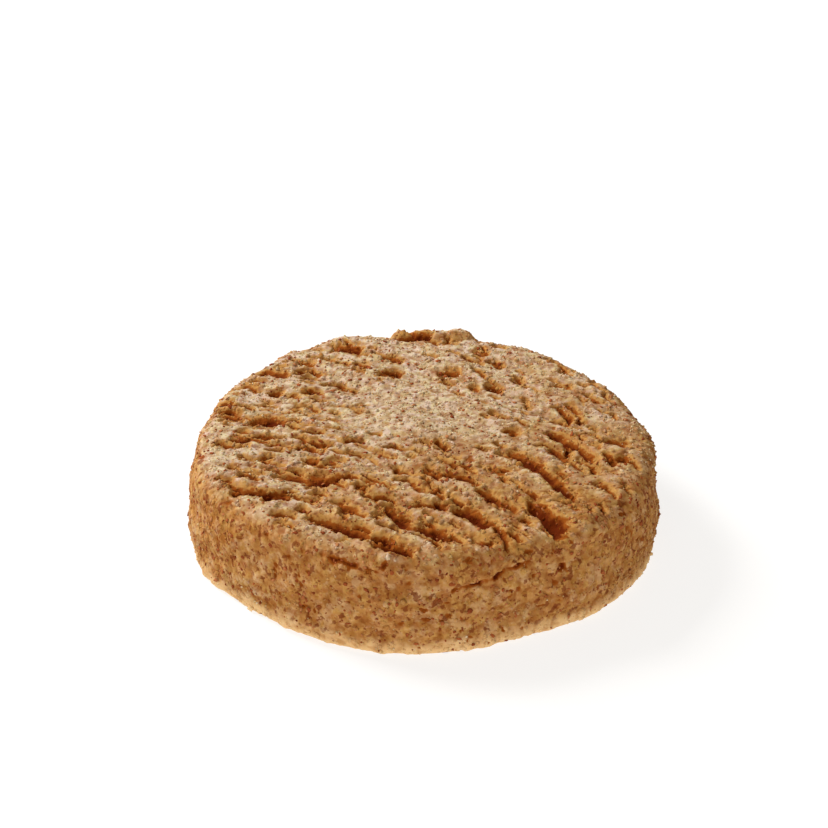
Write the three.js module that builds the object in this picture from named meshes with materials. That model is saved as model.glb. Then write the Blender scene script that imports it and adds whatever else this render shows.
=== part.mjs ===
// A round millet cookie, wire-cut from coarse wholegrain dough and baked flat.
//
// Millimetres, +Z up. The flat underside lies in z = 0 and the outline is centred on the origin.
// A wire dragged across the top from left to right tore the dough into short hollows. Each hollow slopes
// down gently from its far side, is deepest along a slanting line, and ends at a steep near lip. The side
// swells to its widest near the foot and is split by a few cracks.

import * as THREE from 'three';

const { degToRad } = THREE.MathUtils;

// ---- Driving dimensions -------------------------------------------------------------------------

const WIDEST_RADIUS = 29;
const THICKNESS = 12.5;
const WIDEST_HEIGHT = 2.5; // where the side is widest
const TOP_EDGE_INSET = 0.8; // how much narrower the side is where the shoulder begins
const SHOULDER_WIDTH = 2.6;
const SHOULDER_DROP = 2.2;
const FOOT_INSET = 0.8; // the underside's edge, inside the widest radius
const FOOT_HEIGHT = 0.9;
const CROWN = 0.3; // how much the middle of the top stands above its edge

// The outline's departures from a circle: how many lobes, how high, and where one peaks, in degrees.
const OUTLINE_LOBES = [
  { count: 2, height: 0.13, peak: 17.5 },
  { count: 3, height: 0.38, peak: -9.5 },
  { count: 5, height: 0.3, peak: -20.5 },
  { count: 6, height: 0.1, peak: 13.5 },
  { count: 7, height: 0.15, peak: 9.5 },
  { count: 11, height: 0.08, peak: 16 },
];

// The tears, from the left edge to the right: the middle of the deepest line, the line's slant below the
// X axis in degrees, its length, the reach of the slope on its far side, and the depth.
const TEARS = [
  [-24.2, 2.9, 10, 3.0, 1.4, 0.6],
  [-23.9, -4.8, 25, 2.2, 1.5, 0.7],
  [-21.2, -3.3, 8, 4.0, 1.7, 0.8],
  [-21.2, -13.9, 20, 2.6, 1.1, 0.5],
  [-20.7, -11.0, 15, 2.2, 1.2, 0.7],
  [-20.1, 13.6, 12, 4.2, 2.3, 1.2],
  [-19.2, 1.5, 5, 4.4, 2.0, 1.1],
  [-18.7, -15.6, 12, 6.8, 1.9, 1.3],
  [-16.9, -4.5, 14, 4.4, 1.4, 0.8],
  [-15.7, -11.4, 8, 3.6, 1.6, 0.8],
  [-15.5, 16.8, 20, 1.8, 1.6, 0.5],
  [-13.8, -16.4, 22, 3.2, 1.1, 0.7],
  [-11.9, -12.1, 5, 4.0, 2.0, 1.1],
  [-10.4, 21.1, 17, 4.0, 2.5, 1.3],
  [-9.4, -21.9, 27, 8.2, 1.6, 1.2],
  [-9.2, -11.5, 12, 2.8, 1.5, 0.9],
  [-8.8, -17.6, 40, 4.0, 1.3, 0.8],
  [-8.5, 16.4, 20, 2.4, 1.6, 0.7],
  [-6.0, -15.7, 40, 2.2, 1.2, 0.6],
  [-4.6, -13.0, 45, 2.2, 1.2, 0.6],
  [-4.5, 13.9, 10, 2.8, 1.8, 0.8],
  [-3.2, -25.7, 18, 4.8, 1.7, 1.0],
  [-3.0, -19.2, 56, 5.8, 1.6, 1.0],
  [-1.8, -12.0, 58, 3.2, 1.1, 0.6],
  [-1.6, 24.9, 5, 4.6, 1.0, 0.6],
  [0.9, -17.3, 8, 4.6, 1.3, 0.7],
  [1.2, -22.2, 30, 5.0, 2.0, 1.0],
  [3.0, 14.8, 8, 2.8, 1.7, 0.9],
  [3.4, 23.5, 10, 2.0, 1.4, 0.6],
  [4.3, -11.3, 25, 5.0, 1.5, 0.9],
  [5.6, -19.4, 48, 5.0, 2.4, 1.3],
  [8.6, 11.1, 30, 2.2, 1.6, 0.7],
  [8.6, -8.6, 60, 2.2, 1.3, 0.5],
  [8.9, -22.6, 66, 5.0, 1.3, 0.9],
  [9.4, -10.8, 75, 2.4, 1.0, 0.6],
  [9.9, -16.4, 50, 2.2, 1.5, 0.7],
  [10.6, 0.4, 40, 2.0, 1.3, 0.7],
  [12.1, -24.9, 45, 2.8, 1.0, 0.6],
  [13.2, -8.2, 54, 9.4, 1.8, 1.2],
  [13.4, -17.4, 66, 4.4, 2.3, 1.2],
  [14.8, -20.2, 62, 4.0, 2.6, 1.6],
  [16.1, -4.8, 60, 3.2, 1.7, 0.8],
  [16.2, -0.7, 40, 3.0, 1.8, 1.0],
  [16.5, -12.5, 52, 4.6, 1.5, 1.1],
  [16.5, -22.8, 25, 2.4, 1.1, 0.6],
  [16.9, 3.3, 30, 2.2, 1.4, 0.7],
  [17.0, -15.9, 42, 3.2, 1.0, 0.7],
  [18.3, 6.4, 57, 2.8, 1.2, 0.5],
  [18.8, -3.3, 57, 6.2, 1.3, 0.8],
  [21.2, -11.7, 50, 2.4, 1.3, 0.6],
  [23.1, -1.8, 20, 3.0, 2.1, 1.0],
  [24.1, -5.8, 30, 2.0, 1.5, 0.6],
].map(([x, y, slant, length, reach, depth]) => ({ x, y, slant: degToRad(slant), length, reach, depth }));

// The near lip is steep: it rises over this share of the reach on the far side.
const LIP_SHARE = 0.45;

// Dough that the wire pushed up over the back edge: centre, half width, half depth and height.
const BURRS = [
  { x: -1.3, y: 26.4, halfWidth: 3.3, halfDepth: 1.5, height: 1.4 },
  { x: 5.1, y: 26.3, halfWidth: 1.9, halfDepth: 1.5, height: 1.4 },
  { x: 1.8, y: 26, halfWidth: 4.6, halfDepth: 1.4, height: 0.6 },
];

// Low swells across the top: height, wavelength, slant of their crests below the X axis, and phase.
const SWELLS = [
  { height: 0.14, length: 7.5, slant: degToRad(30), phase: 0.9 },
  { height: 0.12, length: 11, slant: degToRad(70), phase: 2 },
  { height: 0.1, length: 15, slant: degToRad(-20), phase: 0.4 },
];

// Shallow waves round the side: how many, height, turn of phase for each millimetre of height, and phase.
const SIDE_WAVES = [
  { count: 9, height: 0.14, twist: 0.7, phase: 0 },
  { count: 14, height: 0.1, twist: -1.1, phase: 1 },
];

// Cracks round the side: middle and half angle in degrees, height, rise to the far end, half width, depth.
const SIDE_CRACKS = [
  { angle: -73, halfAngle: 12, height: 9.1, rise: 0.9, halfWidth: 0.8, depth: 0.55 },
  { angle: -107, halfAngle: 8, height: 11.2, rise: -0.4, halfWidth: 0.7, depth: 0.5 },
  { angle: -27, halfAngle: 9, height: 6.6, rise: -1.2, halfWidth: 0.8, depth: 0.4 },
  { angle: 150, halfAngle: 13, height: 8.8, rise: 1.3, halfWidth: 0.8, depth: 0.45 },
  { angle: 64, halfAngle: 11, height: 7.2, rise: -1.5, halfWidth: 0.8, depth: 0.45 },
];

// ---- How finely the surface is divided ----------------------------------------------------------

const GRID_SLANT = degToRad(35); // the top's grid lies along the mean of the tears
const CELLS_ALONG = 44;
const CELLS_ACROSS = 78;
const SHOULDER_RINGS = 4;
const SIDE_RINGS = 5;
const OUTLINE_STEPS = 720; // for measuring the outline's box

// ---- The outline --------------------------------------------------------------------------------

const unshiftedRadius = (angle) =>
  OUTLINE_LOBES.reduce(
    (radius, { count, height, peak }) => radius + height * Math.cos(count * (angle - degToRad(peak))),
    WIDEST_RADIUS,
  );

// The lobes pull the outline's box off the origin. This is the middle of that box.
function outlineMiddle() {
  const box = new THREE.Box2();
  for (let i = 0; i < OUTLINE_STEPS; i += 1) {
    const angle = (2 * Math.PI * i) / OUTLINE_STEPS;
    const radius = unshiftedRadius(angle);
    box.expandByPoint(new THREE.Vector2(radius * Math.cos(angle), radius * Math.sin(angle)));
  }
  return box.getCenter(new THREE.Vector2());
}

// ---- The relief ---------------------------------------------------------------------------------

// A tear is full at its deepest line and gone at the line's ends, at its far reach and at its near lip.
function tearDepth(tear, x, y) {
  const { slant, length, reach, depth } = tear;
  const along = ((x - tear.x) * Math.cos(slant) - (y - tear.y) * Math.sin(slant)) / (length / 2);
  const across = ((x - tear.x) * Math.sin(slant) + (y - tear.y) * Math.cos(slant)) / reach;
  if (Math.abs(along) >= 1 || across >= 1 || across <= -LIP_SHARE) return 0;
  const ends = 1 - along ** 4;
  const slope = across > 0 ? (1 - across) ** 2 * (1 + 2 * across) : 1 - (across / LIP_SHARE) ** 2;
  return depth * ends * slope;
}

const deepestTear = (x, y) => TEARS.reduce((deepest, tear) => Math.max(deepest, tearDepth(tear, x, y)), 0);

const swellHeight = (x, y) =>
  SWELLS.reduce((sum, { height, length, slant, phase }) => {
    const across = x * Math.sin(slant) + y * Math.cos(slant);
    return sum + height * Math.sin((2 * Math.PI * across) / length + phase);
  }, 0);

const burrHeight = (x, y) =>
  BURRS.reduce((highest, burr) => {
    const away = ((x - burr.x) / burr.halfWidth) ** 2 + ((y - burr.y) / burr.halfDepth) ** 2;
    return Math.max(highest, burr.height * Math.max(0, 1 - away));
  }, 0);

const topRelief = (x, y) => swellHeight(x, y) + burrHeight(x, y) - deepestTear(x, y);

function crackDepth(crack, angle, z) {
  const turn = angle - degToRad(crack.angle);
  const along = Math.atan2(Math.sin(turn), Math.cos(turn)) / degToRad(crack.halfAngle);
  const across = (z - crack.height - crack.rise * along) / crack.halfWidth;
  if (Math.abs(along) >= 1 || Math.abs(across) >= 1) return 0;
  return crack.depth * (1 - along ** 2) * (1 - Math.abs(across));
}

const deepestCrack = (angle, z) =>
  SIDE_CRACKS.reduce((deepest, crack) => Math.max(deepest, crackDepth(crack, angle, z)), 0);

const sideWaveHeight = (angle, z) =>
  SIDE_WAVES.reduce((sum, wave) => sum + wave.height * Math.sin(wave.count * angle + wave.twist * z + wave.phase), 0);

const sideRelief = (angle, z) => sideWaveHeight(angle, z) - deepestCrack(angle, z);

// ---- The surface --------------------------------------------------------------------------------

// The profile from the top's rim to the foot's edge. Each stop has the inset from the outline, the height,
// and the tilt of its outward direction: 0 is up and a quarter turn is sideways.
function profileStops() {
  const shoulder = Array.from({ length: SHOULDER_RINGS + 1 }, (_, i) => {
    const tilt = ((Math.PI / 2) * i) / SHOULDER_RINGS;
    return {
      inset: TOP_EDGE_INSET + SHOULDER_WIDTH * (1 - Math.sin(tilt)),
      z: THICKNESS - SHOULDER_DROP * (1 - Math.cos(tilt)),
      tilt,
    };
  });
  const sideTop = THICKNESS - SHOULDER_DROP;
  const side = Array.from({ length: SIDE_RINGS }, (_, i) => {
    const z = sideTop + ((FOOT_HEIGHT - sideTop) * (i + 1)) / SIDE_RINGS;
    const above = Math.max(0, z - WIDEST_HEIGHT) / (sideTop - WIDEST_HEIGHT);
    return { inset: TOP_EDGE_INSET * above ** 2, z, tilt: Math.PI / 2 };
  });
  return [...shoulder, ...side];
}

// A place on the unit disc for a corner of the grid: each straight line of the grid becomes part of an
// ellipse, and the grid's edge the rim.
function placeOnDisc(i, j) {
  const u = (2 * i) / CELLS_ALONG - 1;
  const v = (2 * j) / CELLS_ACROSS - 1;
  const place = new THREE.Vector2(u * Math.sqrt(1 - (v * v) / 2), v * Math.sqrt(1 - (u * u) / 2));
  return { share: place.length(), angle: place.angle() - GRID_SLANT };
}

// The grid corners round the edge of the top face, anticlockwise from its first corner.
function rimOfGrid() {
  const rim = [];
  for (let i = 0; i < CELLS_ALONG; i += 1) rim.push([i, 0]);
  for (let j = 0; j < CELLS_ACROSS; j += 1) rim.push([CELLS_ALONG, j]);
  for (let i = CELLS_ALONG; i > 0; i -= 1) rim.push([i, CELLS_ACROSS]);
  for (let j = CELLS_ACROSS; j > 0; j -= 1) rim.push([0, j]);
  return rim;
}

function cookieGeometry() {
  const middle = outlineMiddle();
  const vertices = [];
  const faces = [];
  const addPoint = (radius, angle, z) =>
    vertices.push(radius * Math.cos(angle) - middle.x, radius * Math.sin(angle) - middle.y, z) / 3 - 1;
  const addCell = (a, b, c, d) => faces.push(a, b, c, a, c, d);

  // The top face: the grid wrapped on to the disc inside the shoulder.
  const stops = profileStops();
  const rowLength = CELLS_ALONG + 1;
  for (let j = 0; j <= CELLS_ACROSS; j += 1) {
    for (let i = 0; i <= CELLS_ALONG; i += 1) {
      const { share, angle } = placeOnDisc(i, j);
      const radius = share * (unshiftedRadius(angle) - stops[0].inset);
      const relief = topRelief(radius * Math.cos(angle), radius * Math.sin(angle));
      addPoint(radius, angle, THICKNESS + CROWN * (1 - share ** 2) + relief);
    }
  }
  for (let j = 0; j < CELLS_ACROSS; j += 1) {
    for (let i = 0; i < CELLS_ALONG; i += 1) {
      const a = j * rowLength + i;
      addCell(a, a + 1, a + 1 + rowLength, a + rowLength);
    }
  }

  // The shoulder and the side: a ring of points for each stop below the rim.
  const rim = rimOfGrid();
  const rimAngles = rim.map(([i, j]) => placeOnDisc(i, j).angle);
  const joinRings = (upper, lower) =>
    upper.forEach((_, k) => {
      const next = (k + 1) % upper.length;
      addCell(upper[k], lower[k], lower[next], upper[next]);
    });
  let ring = rim.map(([i, j]) => j * rowLength + i);
  for (const { inset, z, tilt } of stops.slice(1)) {
    const below = rimAngles.map((angle) => {
      const radius = unshiftedRadius(angle) - inset;
      const fromTop = topRelief(radius * Math.cos(angle), radius * Math.sin(angle)) * Math.cos(tilt);
      const out = fromTop + sideRelief(angle, z) * Math.sin(tilt);
      return addPoint(radius + out * Math.sin(tilt), angle, z + out * Math.cos(tilt));
    });
    joinRings(ring, below);
    ring = below;
  }

  // The foot's edge and the flat underside.
  const footEdge = rimAngles.map((angle) => addPoint(unshiftedRadius(angle) - FOOT_INSET, angle, 0));
  joinRings(ring, footEdge);
  const underside = addPoint(0, 0, 0);
  footEdge.forEach((point, k) => faces.push(underside, footEdge[(k + 1) % footEdge.length], point));

  const geometry = new THREE.BufferGeometry();
  geometry.setAttribute('position', new THREE.Float32BufferAttribute(vertices, 3));
  geometry.setIndex(faces);
  geometry.computeVertexNormals();
  return geometry;
}

// ---- The part -----------------------------------------------------------------------------------

const bakedCrumb = new THREE.MeshStandardMaterial({ color: 0xb58a5c, roughness: 0.95, metalness: 0 });

const cookie = new THREE.Mesh(cookieGeometry(), bakedCrumb);
cookie.name = 'cookie';

const part = new THREE.Group();
part.add(cookie);

export default part;
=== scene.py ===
# %% [markdown]
# # A millet cookie, wire-cut and baked flat
#
# The real cookie is one lump of coarse wholegrain dough. A wire dragged across its top tore short hollows
# into it, the die left a smoother side, and baking browned it all. What the eye reads is the meal itself:
# grains of half a millimetre or less, pale where flour dusts them and golden brown where the dough tore.
#
# So the cookie is made in two layers. First comes one closed skin whose form is a formula: an outline, a
# profile and a relief. Then come the loose things that stick to it: meal grains, bran flakes and crumbs.

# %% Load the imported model
import math

import bpy
import numpy as np
from mathutils import Matrix, Vector


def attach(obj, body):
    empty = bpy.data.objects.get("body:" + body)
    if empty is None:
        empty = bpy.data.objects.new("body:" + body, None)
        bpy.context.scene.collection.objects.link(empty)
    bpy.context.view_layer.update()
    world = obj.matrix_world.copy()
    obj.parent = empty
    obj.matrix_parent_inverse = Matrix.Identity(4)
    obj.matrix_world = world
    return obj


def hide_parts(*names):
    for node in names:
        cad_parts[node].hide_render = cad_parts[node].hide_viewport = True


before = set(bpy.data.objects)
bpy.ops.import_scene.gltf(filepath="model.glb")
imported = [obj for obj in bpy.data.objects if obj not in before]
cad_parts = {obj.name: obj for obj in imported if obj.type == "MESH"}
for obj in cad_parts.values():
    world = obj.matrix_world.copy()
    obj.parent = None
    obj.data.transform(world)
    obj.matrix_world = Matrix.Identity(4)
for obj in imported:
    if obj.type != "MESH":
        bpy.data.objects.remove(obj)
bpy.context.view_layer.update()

MM = 0.001  # lengths below are in millimetres, and a mesh is scaled to metres as it is made

# %% [markdown]
# ## The camera
#
# A camera can be aimed with a constraint or a target object. Here its turn is written as a matrix, from an
# elevation and three small turns, because the cookie lies a little off the middle of the picture and the
# picture is not quite level.

# %% Camera
AIM = (-0.22, 0.30, 6.25)  # the centre of the outline's circle, at half the thickness
CAMERA_DISTANCE = 240.0
CAMERA_ELEVATION = 31.54  # degrees above the table
CAMERA_YAW = -0.30
CAMERA_PITCH = 1.83
CAMERA_ROLL = 1.44
LENS = 83.8
SENSOR_WIDTH = 36
NEAR_CLIP = 0.01  # metres


def turn(degrees, axis):
    """A rotation matrix for a turn in degrees about one axis."""
    return Matrix.Rotation(math.radians(degrees), 3, axis)


def make_camera():
    """Look along +Y and down, step back from the aim along that direction, then add yaw, pitch and roll."""
    level = turn(90 - CAMERA_ELEVATION, "X")
    back = level @ Vector((0, 0, 1))
    camera = bpy.data.objects.new("camera", bpy.data.cameras.new("camera"))
    camera.data.lens = LENS
    camera.data.sensor_width = SENSOR_WIDTH
    camera.data.clip_start = NEAR_CLIP
    camera.location = (Vector(AIM) + back * CAMERA_DISTANCE) * MM
    small_turns = turn(-CAMERA_YAW, "Y") @ turn(CAMERA_PITCH, "X") @ turn(CAMERA_ROLL, "Z")
    camera.rotation_euler = (level @ small_turns).to_euler()
    bpy.context.scene.collection.objects.link(camera)
    bpy.context.scene.camera = camera
    return camera


camera = make_camera()
print("camera at, mm:", [round(v / MM, 1) for v in camera.location])

# %% [markdown]
# ## The table and the light
#
# The cookie stands on a light table: a white sheet that glows a little, so that shadows stay pale and the
# foot of the cookie is lit from below. A broad lamp on the left and behind rakes over the top, so the walls
# of the tears that face the viewer fall into shade. A weaker lamp in front and the world fill the rest, both
# a little warm, as light is that comes back from baked things.

# %% Floor
FLOOR_HALF = 3.0  # metres
FLOOR_GREY = 0.28
FLOOR_GLOW = 0.78


def make_floor():
    """One flat square under the cookie, plain, white and glowing a little."""
    mesh = bpy.data.meshes.new("floor")
    corners = [(x * FLOOR_HALF, y * FLOOR_HALF, 0) for x, y in ((-1, -1), (1, -1), (1, 1), (-1, 1))]
    mesh.from_pydata(corners, [], [(0, 1, 2, 3)])
    floor = bpy.data.objects.new("floor", mesh)
    bpy.context.scene.collection.objects.link(floor)
    white = bpy.data.materials.new("light_table")
    white.use_nodes = True
    shader = white.node_tree.nodes["Principled BSDF"]
    shader.inputs["Base Color"].default_value = (FLOOR_GREY, FLOOR_GREY, FLOOR_GREY, 1)
    shader.inputs["Roughness"].default_value = 0.9
    shader.inputs["Specular IOR Level"].default_value = 0.1
    shader.inputs["Emission Color"].default_value = (1, 1, 1, 1)
    shader.inputs["Emission Strength"].default_value = FLOOR_GLOW
    mesh.materials.append(white)


make_floor()

# %% Lamps and world
KEY_POWER = 3.05
KEY_SIZE = 0.20
KEY_PLACE = (-0.34, 0.22, 0.34)
KEY_COLOUR = (1.0, 0.99, 0.98)
FILL_POWER = 1.07
FILL_SIZE = 0.4
FILL_PLACE = (-0.07, -0.50, 0.16)
FILL_COLOUR = (1.0, 0.93, 0.82)
WORLD_STRENGTH = 0.375
WORLD_COLOUR = (1.0, 0.89, 0.73, 1)


def make_lamp(name, place, power, size, colour):
    """A square area lamp at a place in metres, turned to face the cookie."""
    lamp = bpy.data.objects.new(name, bpy.data.lights.new(name, "AREA"))
    lamp.data.energy = power
    lamp.data.size = size
    lamp.data.color = colour
    lamp.location = place
    lamp.rotation_euler = Vector(place).to_track_quat("Z", "Y").to_euler()
    bpy.context.scene.collection.objects.link(lamp)
    return lamp


make_lamp("key", KEY_PLACE, KEY_POWER, KEY_SIZE, KEY_COLOUR)
make_lamp("fill", FILL_PLACE, FILL_POWER, FILL_SIZE, FILL_COLOUR)
world = bpy.data.worlds.new("warm_room")
bpy.context.scene.world = world
world.use_nodes = True
background = world.node_tree.nodes["Background"]
background.inputs["Color"].default_value = WORLD_COLOUR
background.inputs["Strength"].default_value = WORLD_STRENGTH
bpy.context.scene.view_settings.view_transform = "Standard"

# %% [markdown]
# ## Sizes of the cookie
#
# These are the same driving sizes as the solid's. The outline is a circle with a few low lobes, and the
# profile runs from the flat top over a rounded shoulder and down a side that swells towards the foot.

# %% Driving sizes
WIDEST_RADIUS = 29.0
THICKNESS = 12.5
WIDEST_HEIGHT = 2.5  # where the side is widest
TOP_EDGE_INSET = 0.8  # how much narrower the side is where the shoulder begins
SHOULDER_WIDTH = 2.6
SHOULDER_DROP = 2.2
FOOT_INSET = 0.8  # the underside's edge, inside the widest radius
FOOT_HEIGHT = 0.9
CROWN = 0.3  # how much the middle of the top stands above its edge
OUTLINE_STEPS = 720  # for measuring the outline's box
# How many lobes, how high, and where one peaks in degrees.
OUTLINE_LOBES = [
    (2, 0.13, 17.5), (3, 0.38, -9.5), (5, 0.30, -20.5),
    (6, 0.10, 13.5), (7, 0.15, 9.5), (11, 0.08, 16),
]


def unshifted_radius(angle):
    """The circle's radius plus, for each lobe, its height times the cosine of its count times the angle from
    a peak."""
    lobes = (
        height * np.cos(count * (angle - math.radians(peak)))
        for count, height, peak in OUTLINE_LOBES
    )
    return WIDEST_RADIUS + sum(lobes)


def outline_middle():
    """The middle of the box round the outline, which is moved to the origin."""
    angle = np.arange(OUTLINE_STEPS) * 2 * np.pi / OUTLINE_STEPS
    x = unshifted_radius(angle) * np.cos(angle)
    y = unshifted_radius(angle) * np.sin(angle)
    return np.array([(x.min() + x.max()) / 2, (y.min() + y.max()) / 2, 0.0])


MIDDLE = outline_middle()
print("outline's middle, mm:", MIDDLE.round(3))

# %% [markdown]
# ## Random roughness
#
# Dough is rough at every scale. Two recipes give that. Lattice noise draws a random number at each corner
# of a grid of cubes and blends between them. Packed grains put one ball in each cube and keep the nearest,
# which gives the round bumps of meal pressed together. Both are pure arrays with fixed seeds.

# %% Noise helpers
TABLE_SIZE = 256
BALL_MARGIN = 0.1  # how far a ball's centre stays from its cube's walls, in cubes
BALL_REACH = 0.6  # the squared distance from its centre at which a ball's height is 0


def corner_keys(cell, order):
    """A repeatable entry of the table for each whole-number place, looked up once for each coordinate."""
    across, along, up = (cell % TABLE_SIZE).T
    return order[(order[(order[across] + along) % TABLE_SIZE] + up) % TABLE_SIZE]


def lattice_noise(points, seed):
    """Random values from -1 to 1 at the lattice's corners, blended by the fade 6t^5 - 15t^4 + 10t^3."""
    draw = np.random.default_rng(seed)
    order = draw.permutation(TABLE_SIZE)
    values = draw.uniform(-1, 1, TABLE_SIZE)
    corner = np.floor(points).astype(int)
    t = points - corner
    fade = t * t * t * (t * (t * 6 - 15) + 10)
    total = np.zeros(len(points))
    for step in np.ndindex(2, 2, 2):
        weight = np.where(step, fade, 1 - fade).prod(axis=1)
        total += weight * values[corner_keys(corner + step, order)]
    return total


def rough(points, size, octaves, seed):
    """Lattice noise of a given size, plus octaves that are each half as large and half as high."""
    total = sum(lattice_noise(points * (2.0**k / size), seed + k) / 2**k for k in range(octaves))
    return total / (2 - 2.0 ** (1 - octaves))


def packed_grains(points, size, seed):
    """The height, 1 to 0, of the nearest of the balls that are drawn one in each cube of the lattice: one
    less a share of the squared distance to its centre. The second answer is that ball's random number."""
    draw = np.random.default_rng(seed)
    order = draw.permutation(TABLE_SIZE)
    offsets = draw.uniform(BALL_MARGIN, 1 - BALL_MARGIN, (TABLE_SIZE, 3))
    tints = draw.uniform(0, 1, TABLE_SIZE)
    scaled = points / size
    corner = np.floor(scaled).astype(int)
    nearest = np.full(len(points), np.inf)
    tint = np.zeros(len(points))
    for step in np.ndindex(3, 3, 3):
        cell = corner + np.array(step) - 1
        key = corner_keys(cell, order)
        distance = ((scaled - cell - offsets[key]) ** 2).sum(axis=1)
        closer = distance < nearest
        nearest[closer] = distance[closer]
        tint[closer] = tints[key][closer]
    return np.clip(1 - nearest / BALL_REACH, 0, 1), tint


# %% [markdown]
# ## The tears in the top
#
# Each tear is a hollow with a gentle wall on its far side and a steep lip on the near side, where the wire
# pushed the dough up. Sculpting them by hand would work, but a short formula for one tear and a table of
# where they lie keep every one of them editable. The places are first pushed about by noise, which makes
# the clean curves of the formula as ragged as torn dough.

# %% Where the tears lie
# The middle of the deepest line, its slant below the X axis in degrees, its length, the reach of the slope on
# its far side, and the depth.
MAIN_TEARS = [
    (-24.2, 2.9, 10, 3.0, 1.4, 0.6),
    (-23.9, -4.8, 25, 2.2, 1.5, 0.7),
    (-21.2, -3.3, 8, 4.0, 1.7, 0.8),
    (-21.2, -13.9, 20, 2.6, 1.1, 0.5),
    (-20.7, -11.0, 15, 2.2, 1.2, 0.7),
    (-20.1, 13.6, 12, 4.2, 2.3, 1.2),
    (-19.2, 1.5, 5, 4.4, 2.0, 1.1),
    (-18.7, -15.6, 12, 6.8, 1.9, 1.3),
    (-16.9, -4.5, 14, 4.4, 1.4, 0.8),
    (-15.7, -11.4, 8, 3.6, 1.6, 0.8),
    (-15.5, 16.8, 20, 1.8, 1.6, 0.5),
    (-13.8, -16.4, 22, 3.2, 1.1, 0.7),
    (-11.9, -12.1, 5, 4.0, 2.0, 1.1),
    (-10.4, 21.1, 17, 4.0, 2.5, 1.3),
    (-9.4, -21.9, 27, 8.2, 1.6, 1.2),
    (-9.2, -11.5, 12, 2.8, 1.5, 0.9),
    (-8.8, -17.6, 40, 4.0, 1.3, 0.8),
    (-8.5, 16.4, 20, 2.4, 1.6, 0.7),
    (-6.0, -15.7, 40, 2.2, 1.2, 0.6),
    (-4.6, -13.0, 45, 2.2, 1.2, 0.6),
    (-4.5, 13.9, 10, 2.8, 1.8, 0.8),
    (-3.2, -25.7, 18, 4.8, 1.7, 1.0),
    (-3.0, -19.2, 56, 5.8, 1.6, 1.0),
    (-1.8, -12.0, 58, 3.2, 1.1, 0.6),
    (-1.6, 24.9, 5, 4.6, 1.0, 0.6),
    (0.9, -17.3, 8, 4.6, 1.3, 0.7),
    (1.2, -22.2, 30, 5.0, 2.0, 1.0),
    (3.0, 14.8, 8, 2.8, 1.7, 0.9),
    (3.4, 23.5, 10, 2.0, 1.4, 0.6),
    (4.3, -11.3, 25, 5.0, 1.5, 0.9),
    (5.6, -19.4, 48, 5.0, 2.4, 1.3),
    (8.6, 11.1, 30, 2.2, 1.6, 0.7),
    (8.6, -8.6, 60, 2.2, 1.3, 0.5),
    (8.9, -22.6, 66, 5.0, 1.3, 0.9),
    (9.4, -10.8, 75, 2.4, 1.0, 0.6),
    (9.9, -16.4, 50, 2.2, 1.5, 0.7),
    (10.6, 0.4, 40, 2.0, 1.3, 0.7),
    (12.1, -24.9, 45, 2.8, 1.0, 0.6),
    (13.2, -8.2, 54, 9.4, 1.8, 1.2),
    (13.4, -17.4, 66, 4.4, 2.3, 1.2),
    (14.8, -20.2, 62, 4.0, 2.6, 1.6),
    (16.1, -4.8, 60, 3.2, 1.7, 0.8),
    (16.2, -0.7, 40, 3.0, 1.8, 1.0),
    (16.5, -12.5, 52, 4.6, 1.5, 1.1),
    (16.5, -22.8, 25, 2.4, 1.1, 0.6),
    (16.9, 3.3, 30, 2.2, 1.4, 0.7),
    (17.0, -15.9, 42, 3.2, 1.0, 0.7),
    (18.3, 6.4, 57, 2.8, 1.2, 0.5),
    (18.8, -3.3, 57, 6.2, 1.3, 0.8),
    (21.2, -11.7, 50, 2.4, 1.3, 0.6),
    (23.1, -1.8, 20, 3.0, 2.1, 1.0),
    (24.1, -5.8, 30, 2.0, 1.5, 0.6),
]
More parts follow.
